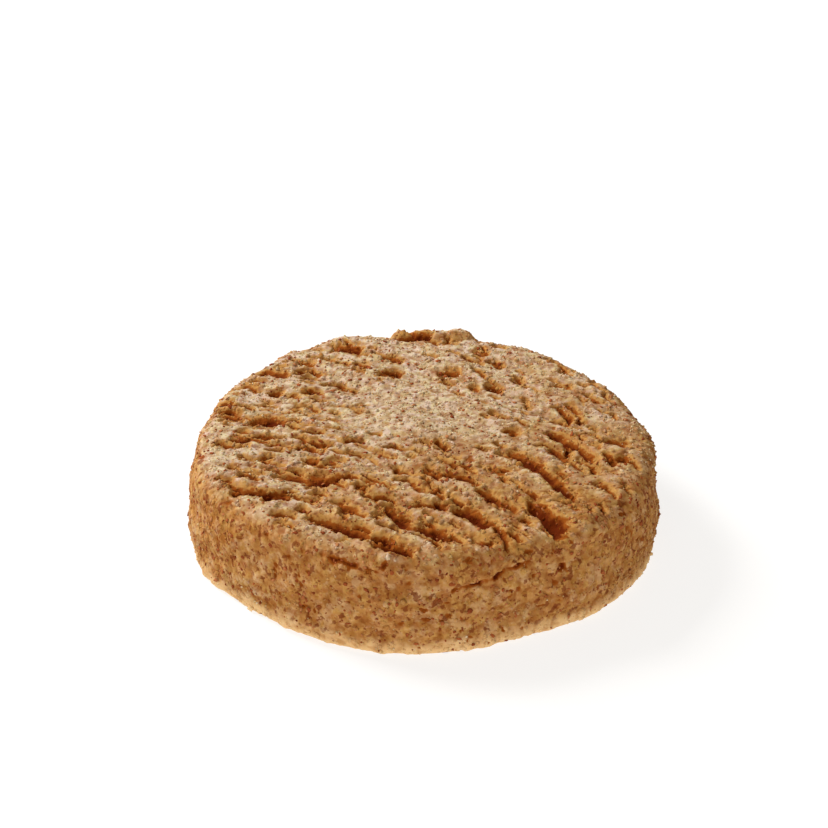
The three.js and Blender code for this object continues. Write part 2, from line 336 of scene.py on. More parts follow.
# Finer ones, which are too small for the solid.
FINE_TEARS = [
    (-25.0, 6.3, 20, 1.6, 1.0, 0.45),
    (-22.7, 10.9, 15, 1.4, 1.0, 0.35),
    (-22.8, 2.0, 10, 1.2, 0.9, 0.4),
    (-22.6, -9.2, 30, 1.6, 0.9, 0.45),
    (-19.2, -7.9, 10, 2.2, 1.0, 0.35),
    (-18.9, 8.6, 35, 1.4, 1.6, 0.45),
    (-17.6, -9.6, 12, 2.4, 0.9, 0.4),
    (-16.5, 7.8, 20, 1.3, 1.0, 0.4),
    (-15.7, -15.1, 10, 2.2, 0.9, 0.4),
    (-15.6, -21.3, 30, 2.4, 0.8, 0.35),
    (-15.4, -4.9, 20, 1.4, 0.9, 0.5),
    (-14.4, 21.5, 15, 1.4, 0.8, 0.3),
    (-14.1, 14.0, 30, 1.3, 1.4, 0.4),
    (-13.4, -18.7, 30, 1.6, 0.9, 0.55),
    (-13.4, -7.8, 10, 1.8, 1.3, 0.4),
    (-12.7, 18.0, 20, 1.8, 1.5, 0.45),
    (-11.0, -8.4, 40, 1.5, 1.2, 0.45),
    (-10.8, 16.9, 20, 1.3, 1.0, 0.45),
    (-9.8, 5.3, 15, 3.6, 0.7, 0.3),
    (-7.0, -19.4, 45, 1.8, 1.0, 0.4),
    (-6.9, -13.9, 40, 1.5, 1.0, 0.4),
    (-6.3, 19.9, 25, 1.8, 0.7, 0.4),
    (-5.2, -19.6, 30, 1.0, 0.8, 0.45),
    (-4.6, 18.7, 15, 2.4, 1.3, 0.45),
    (-3.4, -9.2, 50, 1.3, 1.0, 0.45),
    (-0.6, 25.4, 0, 3.0, 1.0, 0.5),
    (0.3, -13.9, 20, 1.9, 1.4, 0.5),
    (3.7, -16.6, 10, 1.9, 1.0, 0.45),
    (4.7, -8.0, 30, 1.4, 1.2, 0.45),
    (6.8, -24.0, 20, 2.2, 1.2, 0.5),
    (7.1, -13.9, 40, 1.5, 1.0, 0.45),
    (7.4, 21.0, 15, 2.0, 1.5, 0.35),
    (11.2, -12.0, 60, 2.8, 0.7, 0.35),
    (11.8, -18.8, 50, 1.7, 1.2, 0.4),
    (11.9, 13.4, 40, 1.5, 1.2, 0.45),
    (12.8, -13.9, 40, 1.9, 1.4, 0.5),
    (13.0, 7.6, 75, 2.4, 0.7, 0.35),
    (13.6, 11.8, 50, 2.6, 0.8, 0.4),
    (14.2, -2.5, 30, 1.5, 0.9, 0.5),
    (17.6, 12.3, 12, 2.4, 1.0, 0.45),
    (18.2, 16.1, 20, 1.7, 1.4, 0.4),
    (20.0, -7.4, 70, 2.8, 0.8, 0.4),
    (21.6, 9.3, 50, 2.0, 1.2, 0.45),
    (23.9, -11.5, 60, 1.7, 0.9, 0.45),
]
print("tears:", len(MAIN_TEARS), "main and", len(FINE_TEARS), "fine")

# %% Places where the wire hardly caught, and the run of its drag
CALM_PATCH = (0.5, 5.0, 10.0, 7.5)  # middle and half sizes
CALM_LOSS = 0.9  # the share of the small tears that the calm patch loses at its middle
DRAG_SLANT = 35.0  # below the X axis at the middle, in degrees
DRAG_TURN = 1.3  # degrees for each millimetre of x
SLANT_SPREAD = 12.0
SMALL_TEAR_COUNT = 270
SMALL_TEAR_LIMIT = 26.5  # how far from the middle they lie
SHORT_ONES = 1.4  # above 1, so that there are more short ones than long ones
SMALL_LENGTH = (0.8, 2.5)
LENGTH_SPREAD = 0.5
SMALL_REACH = (0.50, 1.00)
SMALL_DEPTH = (0.32, 0.68)


def patch_share(x, y, patch):
    """1 in the middle of a patch, falling to 0 outside it: e to the power of less the fourth powers of the
    distances from the middle in half sizes."""
    at_x, at_y, half_x, half_y = patch
    return np.exp(-(((x - at_x) / half_x) ** 4) - ((y - at_y) / half_y) ** 4)


def small_tears(count, seed):
    """Random tears all over the top, slanted as the drag is there, and few of them on the calm patch."""
    draw = np.random.default_rng(seed)
    radius = SMALL_TEAR_LIMIT * np.sqrt(draw.uniform(0, 1, count))
    angle = draw.uniform(0, 2 * np.pi, count)
    x, y = radius * np.cos(angle), radius * np.sin(angle)
    slant = DRAG_SLANT + DRAG_TURN * x + draw.normal(0, SLANT_SPREAD, count)
    size = draw.uniform(0, 1, count) ** SHORT_ONES
    length = np.interp(size, (0, 1), SMALL_LENGTH) + draw.uniform(0, LENGTH_SPREAD, count)
    reach = np.interp(size, (0, 1), SMALL_REACH)
    depth = np.interp(size, (0, 1), SMALL_DEPTH)
    kept = draw.uniform(0, 1, count) > CALM_LOSS * patch_share(x, y, CALM_PATCH)
    return np.stack([x, y, slant, length, reach, depth], axis=1)[kept].tolist()


SMALL_TEARS = small_tears(SMALL_TEAR_COUNT, 7)
print("and", len(SMALL_TEARS), "small random ones")

# %% One tear, and all of them
LIP_SHARE = 0.28  # the near lip's width, as a share of the reach on the far side
LIP_WIDTH = 1.2  # of the dough pushed up beyond the lip, in millimetres
LIP_HEIGHT = 0.16  # of that dough, as a share of the depth
FAR_STRETCH = 1.15  # torn dough slopes off further than the solid's plain walls
FAR_POWER = 1.15
END_ROUND = 0.2  # millimetres by which the hollow goes on beyond each end of its line
END_POWER = 0.6
RAGGED = 0.55  # millimetres that noise pushes the places about
RAGGED_SIZE = 1.7


def ragged_places(x, y):
    """The places of the top, pushed about by noise."""
    places = np.stack([x, y, np.zeros_like(x)], axis=1)
    ragged_x = x + RAGGED * rough(places, RAGGED_SIZE, 3, 11)
    ragged_y = y + RAGGED * rough(places, RAGGED_SIZE, 3, 23)
    return ragged_x, ragged_y


def tear_shape(tear, x, y):
    """Depth of one tear: full on its line; along it, one less the square, to a power; on the far side, a
    long slope that flattens out; on the near side, one less a square. Beyond the lip, a low parabola."""
    at_x, at_y, slant, length, reach, depth = tear
    cosine, sine = math.cos(math.radians(slant)), math.sin(math.radians(slant))
    along = ((x - at_x) * cosine - (y - at_y) * sine) / (length / 2 + END_ROUND)
    across = ((x - at_x) * sine + (y - at_y) * cosine) / reach
    ends = np.clip(1 - along**2, 0, 1) ** END_POWER
    far = np.clip(1 - across / FAR_STRETCH, 0, 1) ** FAR_POWER
    near = np.clip(1 - (across / LIP_SHARE) ** 2, 0, 1)
    hollow = depth * ends * np.where(across > 0, far, near)
    beyond = (-across - LIP_SHARE) * reach / LIP_WIDTH
    lip = LIP_HEIGHT * depth * ends * np.clip(4 * beyond * (1 - beyond), 0, 1)
    return hollow, lip


def all_tears(x, y, tears):
    """The deepest hollow and the highest lip at each place."""
    hollow, lip = np.zeros_like(x), np.zeros_like(x)
    for tear in tears:
        near = np.hypot(x - tear[0], y - tear[1]) < tear[3] + tear[4] + 1
        one_hollow, one_lip = tear_shape(tear, x[near], y[near])
        hollow[near] = np.maximum(hollow[near], one_hollow)
        lip[near] = np.maximum(lip[near], one_lip)
    return hollow, lip


# %% [markdown]
# ## The rest of the top's relief
#
# Besides the tears the top has low swells, two lumps of dough that the wire pushed over the back edge, and
# a calm patch in the middle where the wire hardly caught. Everywhere else the wire shivered as it cut, and
# left ripples: rows of short hollows, steep on the near side like the tears. The drag turns from flat at
# the left to steep at the right, so ripples and streaks are worked out in a frame that turns with x.

# %% Swells, burrs, streaks and ripples
SWELLS = [(0.14, 7.5, 30, 0.9), (0.12, 11, 70, 2.0), (0.10, 15, -20, 0.4)]  # height, length, slant, phase
# Middle, half sizes and height of each lump on the back edge.
BURRS = [
    (-2.8, 26.3, 2.0, 1.4, 1.2),
    (-0.9, 26.2, 2.7, 1.3, 1.05),
    (2.0, 26.0, 2.4, 1.2, 0.75),
    (4.5, 26.2, 2.5, 1.5, 1.15),
]
BURR_POWER = 0.75  # below 1, so that the lumps have flat tops and steep sides
BURR_UNEVEN = 0.2
STREAK_LENGTH = 4.5
STREAK_WIDTH = 1.1
STREAK_HEIGHT = 0.07
STILL_PATCH = (1.0, 9.0, 13.0, 12.5)  # middle and half sizes of the part without ripples
RIPPLES_AT_MIDDLE = 0.9
RIPPLES_AT_BACK = 0.2
RIPPLE_FADE = 14.0  # millimetres of y over which the ripples go from all to nothing
RIPPLE_RIM = 26.0  # the radius where the last of them ends
RIPPLE_RIM_FADE = 3.0
RIPPLE_SPACING = 2.3
RIPPLE_LENGTH = 2.4
RIPPLE_CUT = 0.05  # taken off the noise, so that some stretches have no ripple
RIPPLE_GAIN = 1.7
RIPPLE_DEPTH = 0.37
RIPPLE_LIP = 0.05
SWAY_LENGTH = 4.5
SWAY_WIDTH = 3.0
SWAY = 0.5  # how far a row sways, in rows
STEEP_SHARE = 0.14  # of a ripple's width that its steep near wall takes
SLOPE_SHARE = 0.48  # and its long far wall
LIP_START = 0.6  # where the dough that the next row pushed up begins


def swell_height(x, y):
    """A sum of sine waves, each across its own slanted crests."""
    total = np.zeros_like(x)
    for height, length, slant, phase in SWELLS:
        across = x * math.sin(math.radians(slant)) + y * math.cos(math.radians(slant))
        total += height * np.sin(2 * np.pi * across / length + phase)
    return total


def burr_height(x, y):
    """The highest of a few upside-down bowls with flattened tops, made uneven by noise."""
    bowls = [
        height * np.clip(1 - ((x - at_x) / half_x) ** 2 - ((y - at_y) / half_y) ** 2, 0, 1) ** BURR_POWER
        for at_x, at_y, half_x, half_y, height in BURRS
    ]
    places = np.stack([x, y, 0 * x], axis=1)
    return np.maximum.reduce(bowls) * (1 + BURR_UNEVEN * rough(places, 1.6, 3, 39))


def drag_frame(x, y):
    """The way along the drag and the distance across it. The drag's lines are y less the logarithm of the
    slant's cosine, and the way along them is the logarithm of its secant plus its tangent."""
    slant = np.radians(DRAG_SLANT + DRAG_TURN * x)
    turning = math.radians(DRAG_TURN)
    way = np.log(1 / np.cos(slant) + np.tan(slant)) / turning
    line = (y - np.log(np.cos(slant)) / turning) * np.cos(slant)
    return way, line


def streak_height(x, y):
    """Noise that is long along the drag and short across it."""
    way, line = drag_frame(x, y)
    places = np.stack([way / STREAK_LENGTH, line / STREAK_WIDTH, 0 * x], axis=1)
    return STREAK_HEIGHT * rough(places, 1.0, 2, 37)


def rippled(x, y):
    """1 where the wire shivered, falling to 0 round the calm middle and at the rim, and low at the back."""
    moving = 1 - patch_share(x, y, STILL_PATCH)
    backward = np.clip(RIPPLES_AT_MIDDLE - y / RIPPLE_FADE, RIPPLES_AT_BACK, 1)
    inside = np.clip((RIPPLE_RIM - np.hypot(x, y)) / RIPPLE_RIM_FADE, 0, 1)
    return moving * backward * inside


def row_strength(way, row):
    """Noise along a row of ripples, with its own values for each row, cut off below 0 and above 1."""
    places = np.stack([way / RIPPLE_LENGTH, row, 0 * way], axis=1)
    return np.clip(RIPPLE_GAIN * lattice_noise(places, 43) - RIPPLE_CUT, 0, 1)


def ripples(x, y):
    """Depth and lip of the ripples. Across a row the depth rises along its steep share and falls by a power.
    The lip is a parabola just before the next row, as strong as that row."""
    way, line = drag_frame(x, y)
    sway = rough(np.stack([way / SWAY_LENGTH, line / SWAY_WIDTH, 0 * x], axis=1), 1.0, 2, 41)
    phase = line / RIPPLE_SPACING + SWAY * sway
    row = np.floor(phase)
    share = phase - row
    far = np.clip(1 - (share - STEEP_SHARE) / SLOPE_SHARE, 0, 1) ** FAR_POWER
    wall = np.where(share < STEEP_SHARE, share / STEEP_SHARE, far)
    rise = np.clip((share - LIP_START) / (1 - LIP_START), 0, 1)
    amount = rippled(x, y)
    depth = RIPPLE_DEPTH * amount * row_strength(way, row) * wall
    lip = RIPPLE_LIP * amount * row_strength(way, row + 1) * 4 * rise * (1 - rise)
    return depth, lip


# %% [markdown]
# ## The side
#
# The side was pressed smooth by the die and then split a little in the oven. Low waves run round it. A few
# cracks lie in it, each with a flap of dough that lifted above it. Small pocks are scattered all over: in
# front a table places them where the real cookie has them, and the rest are the peaks of a noise.

# %% Waves, cracks and pocks of the side
SIDE_WAVES = [(9, 0.14, 0.7, 0.0), (14, 0.10, -1.1, 1.0)]  # count, height, twist, phase
# Middle and half angle in degrees, height, rise to the far end, half width and depth.
SIDE_CRACKS = [
    (-72.5, 11, 9.2, 0.9, 0.45, 0.60),
    (-107, 9.5, 11.1, -0.5, 0.65, 0.36),
    (-102, 2.8, 9.9, 0.1, 0.32, 0.30),
    (-97.2, 2.2, 8.0, -1.8, 0.50, 0.24),
    (-26, 3, 6.1, -0.5, 0.40, 0.35),
    (-117.5, 2, 4.1, 0.3, 0.35, 0.30),
    (150, 13, 8.8, 1.3, 0.45, 0.45),
    (64, 11, 7.2, -1.5, 0.45, 0.45),
    (18, 6, 9.4, 0.6, 0.40, 0.40),
    (100, 5, 5.0, -0.8, 0.40, 0.35),
]
FLAP_WIDTH = 1.3
FLAP_HEIGHT = 0.32  # as a share of the crack's depth
CRACK_WANDER = 0.3  # millimetres that a coarse noise shifts a crack up and down
CRACK_RAGGED = 0.35  # and a fine noise
# Angle and height of the middle, half the length along the side, half the height and the depth.
SIDE_POCKS = [
    (-119.0, 7.2, 0.45, 0.40, 0.30),
    (-103.3, 7.6, 0.40, 0.35, 0.35),
    (-98.2, 11.4, 0.45, 0.80, 0.60),
    (-96.5, 5.2, 0.35, 0.30, 0.25),
    (-94.0, 4.5, 0.45, 0.35, 0.35),
    (-92.5, 9.4, 0.45, 0.40, 0.35),
    (-89.0, 6.3, 0.45, 0.40, 0.40),
    (-88.5, 4.9, 0.80, 0.30, 0.35),
    (-83.5, 6.8, 0.40, 0.35, 0.35),
    (-82.0, 8.2, 0.45, 0.40, 0.40),
    (-79.0, 11.8, 0.60, 0.45, 0.45),
    (-78.0, 2.0, 0.35, 0.30, 0.30),
    (-68.5, 6.3, 0.40, 0.35, 0.35),
    (-68.5, 7.3, 0.40, 0.30, 0.35),
    (-62.5, 11.3, 0.70, 0.45, 0.45),
    (-56.5, 6.6, 0.45, 0.40, 0.35),
    (-54.3, 8.2, 0.65, 0.60, 0.55),
    (-51.5, 11.2, 0.50, 0.40, 0.40),
    (-43.0, 10.6, 0.45, 0.40, 0.40),
    (-37.0, 4.3, 0.40, 0.35, 0.35),
    (-34.0, 11.3, 0.45, 0.40, 0.40),
    (-22.0, 8.4, 0.45, 0.40, 0.40),
]
POCK_SIZE = 0.80
POCK_DEPTH = 0.22
POCK_FROM = 0.34  # the noise above which dough is missing
POCK_SPAN = 0.3  # and how much more of it makes a pock as deep as it gets
POCK_RAGGED = 0.35
BOWL_SHARE = 0.65  # of a placed pock's depth, because loose meal lies in it
BOWL_POWER = 0.7


def side_wave_height(angle, z):
    """A sum of sine waves round the side, whose phase turns with the height."""
    return sum(
        height * np.sin(count * angle + twist * z + phase)
        for count, height, twist, phase in SIDE_WAVES
    )


def degrees_from(angle, middle):
    """The turn in degrees from a middle, between -180 and 180."""
    turned = angle - math.radians(middle)
    return np.degrees(np.arctan2(np.sin(turned), np.cos(turned)))


def crack_shape(angle, z, places):
    """Depth of the deepest crack and height of its flap. Along a crack both go as one less a square; across
    it, the depth is one less the distance, and the flap is a parabola above it. Noise makes all ragged."""
    ragged_z = z + CRACK_WANDER * rough(places, 1.6, 2, 51) + CRACK_RAGGED * rough(places, 0.7, 2, 53)
    uneven = np.clip(0.9 + 1.2 * rough(places, 1.1, 2, 55), 0.25, 1.3)
    depths, flaps = [], []
    for middle, half_angle, height, rise, half_width, depth in SIDE_CRACKS:
        along = degrees_from(angle, middle) / half_angle
        ends = np.clip(1 - along**2, 0, 1)
        above = ragged_z - height - rise * along
        depths.append(depth * ends * np.clip(1 - np.abs(above) / half_width, 0, 1))
        share = (above - half_width) / FLAP_WIDTH
        flaps.append(FLAP_HEIGHT * depth * ends * np.clip(4 * share * (1 - share), 0, 1))
    return uneven * np.maximum.reduce(depths), uneven * np.maximum.reduce(flaps)


def pock_depth(angle, z, places):
    """Depth of the deepest pock. The placed ones are ragged bowls: one less the squares of the distances
    along the side and up it, to a power. The rest are what rises above a limit in a noise."""
    peaks = rough(places, POCK_SIZE, 3, 59) + 0.15 * rough(places, 5.0, 1, 60)
    deepest = POCK_DEPTH * np.clip((peaks - POCK_FROM) / POCK_SPAN, 0, 1)
    ragged_angle = angle + POCK_RAGGED / WIDEST_RADIUS * rough(places, 0.8, 2, 61)
    ragged_z = z + POCK_RAGGED * rough(places, 0.8, 2, 63)
    for middle, at_z, half_length, half_height, depth in SIDE_POCKS:
        along = degrees_from(ragged_angle, middle) * math.radians(1) * WIDEST_RADIUS / half_length
        bowl = 1 - along**2 - ((ragged_z - at_z) / half_height) ** 2
        deepest = np.maximum(deepest, BOWL_SHARE * depth * np.clip(bowl, 0, 1) ** BOWL_POWER)
    return deepest


# %% [markdown]
# ## The skin's grid
#
# A disc can be meshed with spokes, but they crowd at the centre. Here the top is a square grid wrapped on
# to the disc, ring of squares to ring of points, which keeps all cells nearly equal. Its edge has the same
# number of points as each ring of the shoulder, the side, the foot and the underside, so all of it joins
# into one closed mesh.

# %% Grid of the top and rings of the side
TOP_CELLS = 216
SHOULDER_RINGS = 16
SIDE_RINGS = 36
FOOT_RINGS = 3
UNDER_RINGS = 4


def square_to_disc(u, v):
    """Radius and angle on the unit disc: each square ring becomes a circle, and a share of its side the
    same share of a quarter turn."""
    flat = np.abs(u) >= np.abs(v)
    share = np.where(flat, u, v)
    safe = np.where(share == 0, 1.0, share)
    quarter = np.where(flat, np.pi / 4 * v / safe, np.pi / 2 - np.pi / 4 * u / safe)
    return np.abs(share), quarter + np.where(share < 0, np.pi, 0)


def profile():
    """Inset, height and tilt of each ring below the rim: a quarter ellipse for the shoulder, the side, a
    quarter ellipse for the foot and a flat underside."""
    side_top = THICKNESS - SHOULDER_DROP
    tilt = np.linspace(0, np.pi / 2, SHOULDER_RINGS + 1)[1:]
    shoulder = np.stack([
        TOP_EDGE_INSET + SHOULDER_WIDTH * (1 - np.sin(tilt)),
        THICKNESS - SHOULDER_DROP * (1 - np.cos(tilt)),
        tilt,
    ], axis=1)
    z = np.linspace(side_top, FOOT_HEIGHT, SIDE_RINGS + 1)[1:]
    above = np.clip(z - WIDEST_HEIGHT, 0, None) / (side_top - WIDEST_HEIGHT)
    side = np.stack([TOP_EDGE_INSET * above**2, z, np.full_like(z, np.pi / 2)], axis=1)
    under = np.linspace(0, np.pi / 2, FOOT_RINGS + 1)[1:]
    foot = np.stack([
        FOOT_INSET * (1 - np.cos(under)), FOOT_HEIGHT * (1 - np.sin(under)), np.pi / 2 + under
    ], axis=1)
    inset = np.linspace(FOOT_INSET, WIDEST_RADIUS, UNDER_RINGS + 2)[1:-1]
    underside = np.stack([inset, 0 * inset, np.full_like(inset, np.pi)], axis=1)
    return np.concatenate([shoulder, side, foot, underside])


def skin_places():
    """For every vertex: its radius, angle, height and tilt on the smooth cookie, and the mesh's faces."""
    line = np.linspace(-1, 1, TOP_CELLS + 1)
    u, v = (grid.ravel() for grid in np.meshgrid(line, line))
    share, angle = square_to_disc(u, v)
    rim_inset = TOP_EDGE_INSET + SHOULDER_WIDTH
    radius = share * (unshifted_radius(angle) - rim_inset)
    top = np.stack([radius, angle, THICKNESS + CROWN * (1 - share**2), 0 * share], axis=1)
    index = np.arange((TOP_CELLS + 1) ** 2).reshape(TOP_CELLS + 1, TOP_CELLS + 1)
    cells = np.stack([index[:-1, :-1], index[:-1, 1:], index[1:, 1:], index[1:, :-1]], axis=-1)
    quads = [cells.reshape(-1, 4)]
    rim = np.concatenate([index[0, :-1], index[:-1, -1], index[-1, :0:-1], index[:0:-1, 0]])
    rings = [top]
    start = len(top)
    upper = rim
    for inset, z, tilt in profile():
        ring = np.stack([
            unshifted_radius(angle[rim]) - inset, angle[rim], np.full(len(rim), z), np.full(len(rim), tilt)
        ], axis=1)
        lower = start + np.arange(len(rim))
        quads.append(np.stack([upper, lower, np.roll(lower, -1), np.roll(upper, -1)], axis=1))
        rings.append(ring)
        upper = lower
        start += len(rim)
    rings.append(np.array([[0, 0, 0, np.pi]]))
    fan = np.stack([np.full(len(rim), start), np.roll(upper, -1), upper], axis=1)
    return np.concatenate(rings), np.concatenate(quads), fan


places, quads, fan = skin_places()
print("skin:", len(places), "vertices,", 2 * len(quads) + len(fan), "triangles")

# %% [markdown]
# ## The skin itself
#
# Every vertex is pushed out along the smooth cookie's own outward direction by the sum of all reliefs. The
# amounts that matter for colour are kept as attributes, so that the material can follow the shape instead of
# guessing it: how deep a place lies in a tear, how much flour dusts it and how much light and shade is
# painted on it, where shade is painted between grains and in dips, and how steep it is. Steepness is measured
# on the finished skin, from its normals, because flour stays on level dough and falls off walls, and because
# the steep walls of the top get a painted glow of gold.

# %% Relief of the skin
TEAR_GAIN = 1.3  # the tears are a little deeper than the solid's, because grains and crumbs fill them again
TEAR_POWER = 0.7  # below 1, so that the shallow ones gain most
FINE_GAIN = 1.6
TEAR_UNEVEN = 0.25
LIP_LIMIT = 0.15  # the depth of hollow at which a lip beside it ends
LUMP_SIZE = 2.4
LUMP_HEIGHT = 0.13
MOTTLE_SIZE = 1.1
MOTTLE_HEIGHT = 0.11  # on the top, and twice that on the side
GRAIN_SIZE = 0.85
GRAIN_HEIGHT = 0.185
FINE_GRAIN_SIZE = 0.45
FINE_GRAIN_HEIGHT = 0.06
SIDE_TRIM = 0.2  # the grains that stick to the side stand out by about as much again
FOOT_TOP = 2.3  # height at which the foot begins to turn pale, with painted light from the glowing table
FOOT_FADE = 1.5
FLOUR_SIZE = 5.0  # of the clouds of flour
FLOUR_CLOUDS = 0.5
UNDERSIDE_TILT = 0.99 * np.pi


def skin_relief(places):
    """The height of the relief at each vertex in millimetres, with the amounts that the colours follow."""
    radius, angle, z, tilt = places.T
    x, y = radius * np.cos(angle), radius * np.sin(angle)
    points = np.stack([x, y, z], axis=1)
    on_top = np.clip(np.cos(tilt), 0, 1)
    on_side = np.clip(np.sin(tilt), 0, 1)
    calm = patch_share(x, y, CALM_PATCH) * on_top
    ragged_x, ragged_y = ragged_places(x, y)
    main_tears = [(*tear[:5], tear[5]**TEAR_POWER) for tear in MAIN_TEARS]
    fine_tears = [(*tear[:5], FINE_GAIN * tear[5]) for tear in FINE_TEARS + SMALL_TEARS]
    torn, lip = all_tears(ragged_x, ragged_y, main_tears + fine_tears)
    ripple, ripple_lip = ripples(ragged_x, ragged_y)
    torn = np.maximum(torn, ripple) * (1 + TEAR_UNEVEN * rough(points, 0.9, 2, 29)) * on_top
    lip = np.maximum(lip, ripple_lip) * np.clip(1 - torn / LIP_LIMIT, 0, 1) * on_top
    top = swell_height(x, y) + burr_height(x, y) + streak_height(x, y) * (1 - 0.6 * calm)
    crack, flap = crack_shape(angle, z, points)
    side = side_wave_height(angle, z) - crack + flap
    pock = pock_depth(angle, z, points) * (1 - 0.8 * calm) * (1 - 0.35 * on_top)
    lumps = LUMP_HEIGHT * rough(points, LUMP_SIZE, 3, 71) * (1 - 0.5 * calm)
    mottle = rough(points, MOTTLE_SIZE, 3, 73) * (1 - 0.5 * calm)
    grains, tint = packed_grains(points, GRAIN_SIZE, 83)
    fine = packed_grains(points, FINE_GRAIN_SIZE, 97)[0]
    meal = GRAIN_HEIGHT * (grains - 0.5) * (0.35 + 0.65 * tint) * (1 - 0.35 * on_side)
    meal += FINE_GRAIN_HEIGHT * (fine - 0.5) * (1 - 0.4 * on_side)
    relief = top * on_top + lip - TEAR_GAIN * torn + side * on_side + lumps + meal - pock
    relief += MOTTLE_HEIGHT * mottle * (1 + on_side) - SIDE_TRIM * on_side
    relief[tilt > UNDERSIDE_TILT] = 0
    # The top is palest on the calm patch, where flour lies thickest, and paler towards the back and the left;
    # flour drifts in clouds and lies thinly on the side. The lips are paler: painted highlight where light
    # from behind catches them. The side is painted darker towards the right, as shade, and paler towards its
    # foot, as light from the glowing table.
    dust_and_painted_light = (0.70 + 0.021 * y - 0.014 * x) * (1 - on_side) + (0.12 - 0.005 * x) * on_side
    dust_and_painted_light += 0.30 * calm + FLOUR_CLOUDS * rough(points, FLOUR_SIZE, 3, 131) + 3 * lip
    dust_and_painted_light += on_side * (0.6 * mottle - 0.06 + 0.10 * np.clip(3.4 - z, 0, 2))
    return {
        "relief": relief,
        "torn": torn,
        "split": np.maximum(crack * on_side, pock),
        # Painted shade: the dips of the mottled relief are browned in the material.
        "low": np.clip(0.05 - 1.7 * mottle, 0, 1),
        # Painted shade between the packed grains, darkened in the material.
        "between": 1 - grains,
        "dust_and_painted_light": np.clip(dust_and_painted_light, 0, 1),
        "side": on_side,
        # How much painted light from the glowing table pales the foot.
        "foot": np.clip((FOOT_TOP + 0.8 * mottle - z) / FOOT_FADE, 0, 1),
    }


def skin_points(places, relief):
    """Each place moved by the relief along its outward direction, centred and kept above the table."""
    radius, angle, z, tilt = places.T
    reach = radius + relief * np.sin(tilt)
    points = np.stack([reach * np.cos(angle), reach * np.sin(angle), z + relief * np.cos(tilt)], axis=1)
    points -= MIDDLE
    points[:, 2] = np.clip(points[:, 2], 0, None)
    return points


# %% Steepness of the skin
LEVEL_COSINE = 0.955  # of about 17 degrees: what is steeper begins to lose its flour
STEEP_SPAN = 0.13
FLOUR_LOSS = 0.85  # the share of its flour that the steepest wall has lost


def outward_normals(points, triangles):
    """The normal at each vertex: the sum of its triangles' cross products, made one long."""
    corners = points[triangles]
    crossed = np.cross(corners[:, 1] - corners[:, 0], corners[:, 2] - corners[:, 0])
    normals = np.zeros_like(points)
    for k in range(3):
        np.add.at(normals, triangles[:, k], crossed)
    return normals / np.maximum(np.linalg.norm(normals, axis=1), 1e-12)[:, None]


def steepness(places, points, triangles):
    """0 where the skin runs level with the smooth cookie, rising to 1 on walls: a limit less the cosine of
    the angle between the two normals, over a span."""
    angle, tilt = places[:, 1], places[:, 3]
    smooth = np.stack([np.sin(tilt) * np.cos(angle), np.sin(tilt) * np.sin(angle), np.cos(tilt)], axis=1)
    cosine = (outward_normals(points, triangles) * smooth).sum(axis=1)
    return np.clip((LEVEL_COSINE - cosine) / STEEP_SPAN, 0, 1)


skin = skin_relief(places)
points = skin_points(places, skin["relief"])
triangles = np.concatenate([quads[:, [0, 1, 2]], quads[:, [0, 2, 3]], fan])
steep = steepness(places, points, triangles)
skin["dust_and_painted_light"] *= 1 - FLOUR_LOSS * steep
# The steep walls of the top also get a painted glow of gold in the material, for light that shines through
# the dough.
skin["steep"] = steep * (1 - skin["side"])
print("share of the skin that is steep:", steep.mean().round(3))
print("skin spans, mm:", points.min(axis=0).round(2), "to", points.max(axis=0).round(2))


# %% Make the mesh
def new_piece(name, points, polygons, attributes):
    """A smooth-shaded mesh object from points in millimetres and faces, with an attribute for each name."""
    mesh = bpy.data.meshes.new(name)
    mesh.from_pydata(points * MM, [], polygons)
    for key, values in attributes.items():
        mesh.attributes.new(key, "FLOAT", "POINT").data.foreach_set("value", values.astype(np.float32))
    mesh.shade_smooth()
    piece = bpy.data.objects.new(name, mesh)
    bpy.context.scene.collection.objects.link(piece)
    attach(piece, "root")
    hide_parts("cookie")
    return piece


skin_keys = ("torn", "steep", "split", "low", "between", "dust_and_painted_light", "side", "foot")
skin_data = {key: skin[key] for key in skin_keys}
body = new_piece("cookie_body", points, quads.tolist() + fan.tolist(), skin_data)
print("the body's box, mm:", [round(v / MM, 2) for v in body.dimensions])
